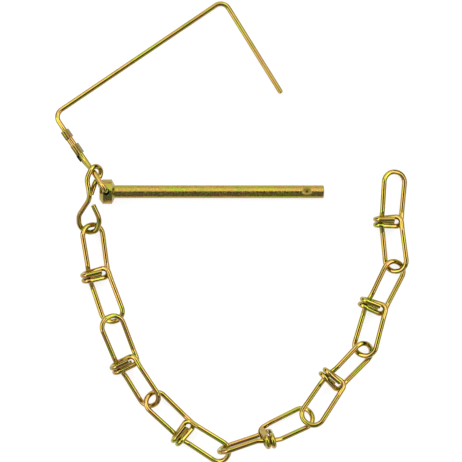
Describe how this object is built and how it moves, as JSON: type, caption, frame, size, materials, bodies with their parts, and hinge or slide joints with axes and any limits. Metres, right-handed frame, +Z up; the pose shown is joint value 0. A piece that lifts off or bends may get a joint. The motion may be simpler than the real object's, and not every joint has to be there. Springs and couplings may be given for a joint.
{
  "type": "snapper pin with tether chain",
  "caption": "Locking pin whose square wire bail snaps over the shank's far end, tethered by a double-loop chain on a wire hook.",
  "frame": {"origin": "centre of the rectangle of ground that the whole thing covers as it lies at rest, at ground level", "axes": "+X from the pin's head towards its tip, +Y towards the open bail, with the chain on the -Y side, +Z up"},
  "size_m": [0.1714, 0.2246, 0.0174],
  "materials": {
    "plated_bar": "turned steel, zinc plated with yellow iridescent chromate",
    "plated_wire": "drawn steel wire and strap, zinc plated with yellow iridescent chromate"
  },
  "bodies": {
    "pin": {"locking_pin": "plated_bar"},
    "bail": {"wire_bail": "plated_wire", "upper_crimp_sleeve": "plated_wire", "lower_crimp_sleeve": "plated_wire"},
    "hook": {"connecting_hook": "plated_wire"},
    "link_1": {"chain_link_1": "plated_wire"},
    "link_2": {"chain_link_2": "plated_wire"},
    "link_3": {"chain_link_3": "plated_wire"},
    "link_4": {"chain_link_4": "plated_wire"},
    "link_5": {"chain_link_5": "plated_wire"},
    "link_6": {"chain_link_6": "plated_wire"},
    "link_7": {"chain_link_7": "plated_wire"}
  },
  "joints": [
    {"name": "bail_swing", "type": "hinge", "parent": "pin", "child": "bail", "pos_m": [-0.0612, 0.01975, 0.0087], "axis": [0.0522, 0, 0.9986], "range_deg": [-26, 60]},
    {"name": "hook_swing", "type": "hinge", "parent": "bail", "child": "hook", "pos_m": [-0.06518, 0.02649, 0.01439], "axis": [0.5309, -0.7638, 0.3672], "range_deg": [-45, 3]},
    {"name": "link_1_swing", "type": "hinge", "parent": "hook", "child": "link_1", "pos_m": [-0.06854, 0.0019, 0.0055], "axis": [0, 0, -1], "range_deg": [-28, 28]},
    {"name": "link_2_swing", "type": "hinge", "parent": "link_1", "child": "link_2", "pos_m": [-0.05808, -0.04196, 0.00597], "axis": [0, 0, 1], "range_deg": [-75, 20]},
    {"name": "link_3_swing", "type": "hinge", "parent": "link_2", "child": "link_3", "pos_m": [-0.03901, -0.08134, 0.00415], "axis": [0, 0, 1], "range_deg": [-70, 15]},
    {"name": "link_4_swing", "type": "hinge", "parent": "link_3", "child": "link_4", "pos_m": [-0.0042, -0.1074, 0.00583], "axis": [0, 0, -1], "range_deg": [-10, 22]},
    {"name": "link_5_swing", "type": "hinge", "parent": "link_4", "child": "link_5", "pos_m": [0.03742, -0.09019, 0.006], "axis": [0, 0, 1], "range_deg": [-75, 10]},
    {"name": "link_6_swing", "type": "hinge", "parent": "link_5", "child": "link_6", "pos_m": [0.06496, -0.05732, 0.00464], "axis": [0, 0, -1], "range_deg": [-15, 40]},
    {"name": "link_7_swing", "type": "hinge", "parent": "link_6", "child": "link_7", "pos_m": [0.08031, -0.0167, 0.00436], "axis": [0, 0, 1], "range_deg": [-35, 60]}
  ]
}
